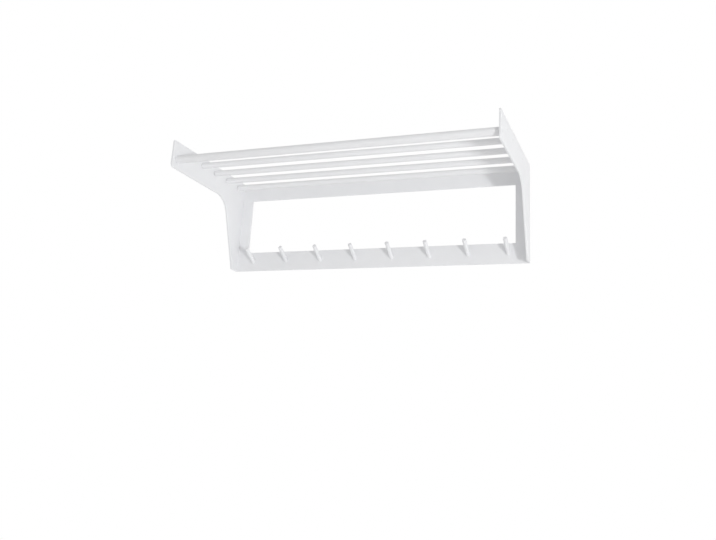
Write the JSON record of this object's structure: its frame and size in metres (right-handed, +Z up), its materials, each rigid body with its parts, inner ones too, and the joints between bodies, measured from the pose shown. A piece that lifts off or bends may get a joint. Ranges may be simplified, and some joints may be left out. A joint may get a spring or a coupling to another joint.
{
  "type": "wall hat and coat rack",
  "caption": "Wall-hung hat and coat rack: shelf of round slats between two thin plate gables, a lower front bar, and a flat back frame with slanted round pegs.",
  "frame": {"origin": "centre of the rear rail's back face, on the wall plane", "axes": "+X to the right along the rack seen from the room, +Y into the wall, +Z up"},
  "size_m": [0.788, 0.3539, 0.246],
  "materials": {
    "steel_coat": "satin white powder coat on steel plate, flat bar and rod",
    "wood_lacquer": "satin white lacquer over close-grained wood",
    "screw_coat": "white painted countersunk head"
  },
  "bodies": {
    "root": {"left_gable": "steel_coat", "right_gable": "steel_coat", "front_bar": "wood_lacquer", "slat_1": "wood_lacquer", "slat_2": "wood_lacquer", "slat_3": "wood_lacquer", "slat_4": "wood_lacquer", "slat_5": "wood_lacquer", "rear_rail": "steel_coat", "peg_rail": "steel_coat", "left_stile": "steel_coat", "right_stile": "steel_coat", "peg_1": "steel_coat", "peg_2": "steel_coat", "peg_3": "steel_coat", "peg_4": "steel_coat", "peg_5": "steel_coat", "peg_6": "steel_coat", "peg_7": "steel_coat", "peg_8": "steel_coat", "left_gable_screws": "screw_coat", "right_gable_screws": "screw_coat"}
  },
  "joints": []
}
